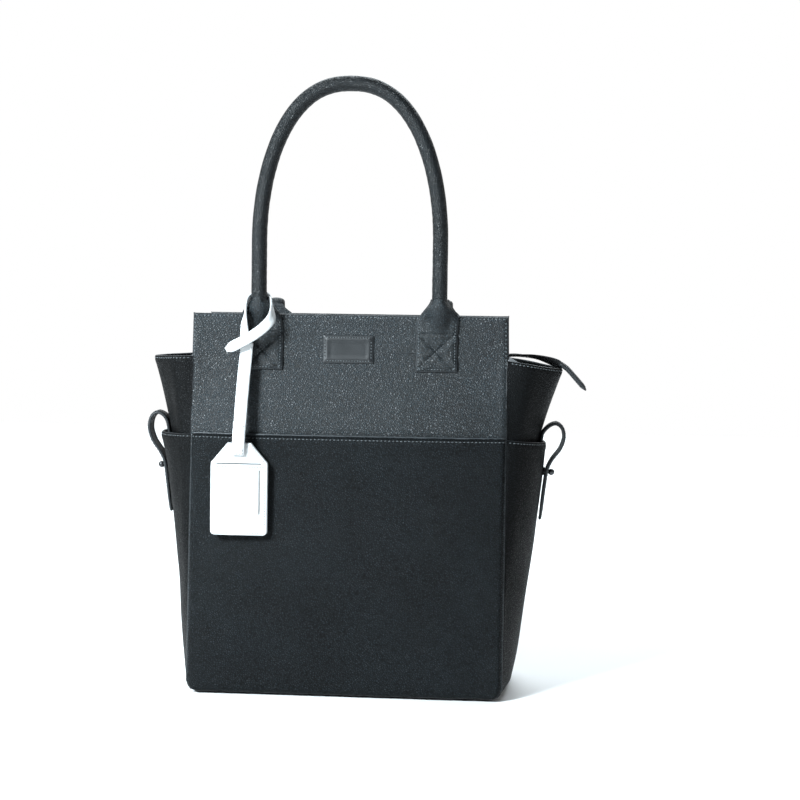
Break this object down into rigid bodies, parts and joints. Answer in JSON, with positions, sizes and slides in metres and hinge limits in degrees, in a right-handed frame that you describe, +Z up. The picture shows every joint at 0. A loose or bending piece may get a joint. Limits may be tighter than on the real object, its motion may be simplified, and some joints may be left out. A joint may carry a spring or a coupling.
{
  "type": "diaper bag",
  "caption": "Structured leather changing-bag tote with rolled top handles, slip pockets all round, a zipped top with a hanging tail, buttoned side straps and a luggage tag.",
  "frame": {"origin": "centre of the base panel's underside, on the surface the bag stands on", "axes": "+Z up, -Y towards the bag's front face, +X towards the end the zip tail hangs over"},
  "size_m": [0.4586, 0.1809, 0.615],
  "materials": {
    "leather": "pebbled, satin black",
    "suede": "matt woven zip tape",
    "lining": "matt cotton twill",
    "board": "matt stiffener",
    "metal": "gunmetal, polished",
    "white_leather": "smooth white",
    "card": "matt paper card"
  },
  "bodies": {
    "bag": {"base_panel": "leather", "front_panel": "leather", "back_panel": "leather", "front_pocket": "leather", "back_pocket": "leather", "front_facing": "leather", "back_facing": "leather", "front_left_handle_tab": "leather", "front_right_handle_tab": "leather", "back_left_handle_tab": "leather", "back_right_handle_tab": "leather", "label_patch": "leather", "left_gusset": "leather", "right_gusset": "leather", "left_side_pocket": "leather", "right_side_pocket": "leather", "left_strap_root": "leather", "right_strap_root": "leather", "base_lining": "lining", "front_lining": "lining", "back_lining": "lining", "left_lining": "lining", "right_lining": "lining", "inner_slip_pocket": "lining", "inner_bottle_pocket": "lining", "base_board": "board", "left_strap_stud": "metal", "right_strap_stud": "metal", "tag_strap_loop": "white_leather", "tag_strap_upper": "white_leather"},
    "front_handle": {"front_handle_cover": "leather", "front_handle_core": "board"},
    "back_handle": {"back_handle_cover": "leather", "back_handle_core": "board"},
    "front_zip_flap": {"front_zip_facing": "leather", "front_zip_tape": "suede", "front_zip_teeth": "metal"},
    "back_zip_flap": {"back_zip_facing": "leather", "back_zip_tape": "suede", "back_zip_teeth": "metal"},
    "slider": {"zip_slider": "metal"},
    "pull": {"zip_pull": "metal"},
    "zip_tail": {"zip_tail_tape": "suede", "zip_tail_teeth": "metal"},
    "end_tab": {"zip_end_tab": "leather"},
    "left_strap": {"left_side_strap": "leather"},
    "right_strap": {"right_side_strap": "leather"},
    "tag_strap": {"tag_strap_lower": "white_leather"},
    "tag": {"tag_back": "white_leather", "tag_card": "card", "tag_front": "white_leather"}
  },
  "joints": [
    {"name": "front_handle_swing", "type": "hinge", "parent": "bag", "child": "front_handle", "pos_m": [0, -0.06, 0.4], "axis": [1, 0, 0], "range_deg": [-12, 135]},
    {"name": "back_handle_swing", "type": "hinge", "parent": "bag", "child": "back_handle", "pos_m": [0, 0.06, 0.4], "axis": [1, 0, 0], "range_deg": [0, 184]},
    {"name": "front_flap_close", "type": "hinge", "parent": "bag", "child": "front_zip_flap", "pos_m": [0, -0.0475, 0.341], "axis": [1, 0, 0], "range_deg": [0, 78]},
    {"name": "back_flap_close", "type": "hinge", "parent": "bag", "child": "back_zip_flap", "pos_m": [0, 0.0475, 0.341], "axis": [-1, 0, 0], "range_deg": [0, 78]},
    {"name": "zip_slide", "type": "slide", "parent": "bag", "child": "slider", "axis": [-1, 0, 0], "range_m": [0, 0.229]},
    {"name": "pull_flip", "type": "hinge", "parent": "slider", "child": "pull", "pos_m": [0.1343, 0, 0.3461], "axis": [0, 1, 0], "range_deg": [0, 150]},
    {"name": "zip_tail_lift", "type": "hinge", "parent": "bag", "child": "zip_tail", "pos_m": [0.1395, 0, 0.3405], "axis": [0, -1, 0], "range_deg": [0, 60]},
    {"name": "end_tab_lift", "type": "hinge", "parent": "zip_tail", "child": "end_tab", "pos_m": [0.22, 0, 0.328], "axis": [0, -1, 0], "range_deg": [0, 90]},
    {"name": "left_strap_swing", "type": "hinge", "parent": "bag", "child": "left_strap", "pos_m": [-0.2077, 0, 0.2793], "axis": [0, 1, 0], "range_deg": [0, 95]},
    {"name": "right_strap_swing", "type": "hinge", "parent": "bag", "child": "right_strap", "pos_m": [0.2077, 0, 0.2723], "axis": [0, -1, 0], "range_deg": [0, 95]},
    {"name": "tag_sway", "type": "hinge", "parent": "bag", "child": "tag_strap", "pos_m": [-0.1036, -0.067, 0.3205], "axis": [0, 1, 0], "range_deg": [-20, 20]},
    {"name": "tag_lift", "type": "hinge", "parent": "tag_strap", "child": "tag", "pos_m": [-0.107, -0.0822, 0.24], "axis": [-1, 0, 0], "range_deg": [0, 100]}
  ]
}
